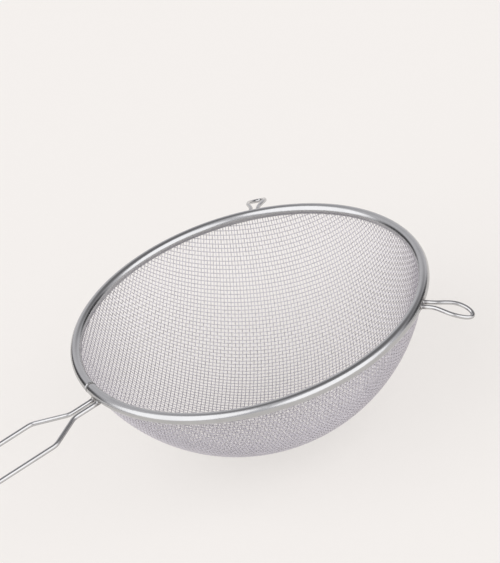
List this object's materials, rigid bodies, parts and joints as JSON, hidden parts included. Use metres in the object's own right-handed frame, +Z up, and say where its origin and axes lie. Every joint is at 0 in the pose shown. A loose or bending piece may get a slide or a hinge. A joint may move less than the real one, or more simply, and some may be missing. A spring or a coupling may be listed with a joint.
{
  "type": "wire mesh sieve",
  "caption": "Round-bottomed woven-wire sieve with a rolled rim, a bent-wire handle and wire rest ears, for sifting flour over a bowl.",
  "frame": {"origin": "centre of the rim, on the bowl's axis, at the height of the rim tube's centre", "axes": "+Z up along the bowl's axis, out of its mouth; handle towards -X; the two rest ears towards +X, at azimuths of 54.7 and -52.4 degrees"},
  "size_m": [0.39, 0.2055, 0.0782],
  "materials": {
    "rim_steel": "polished stainless strip",
    "cloth_steel": "bright drawn stainless wire, plain weave",
    "wire_steel": "polished drawn stainless wire",
    "weld_steel": "spot-weld metal, slightly darkened by heat"
  },
  "bodies": {
    "root": {"rim_band": "rim_steel", "rim_core_wire": "wire_steel", "rim_seam_weld": "weld_steel", "mesh_bowl": "cloth_steel", "handle_wire": "wire_steel", "handle_welds": "weld_steel", "ear_left": "wire_steel", "ear_right": "wire_steel", "ear_welds": "weld_steel"}
  },
  "joints": []
}
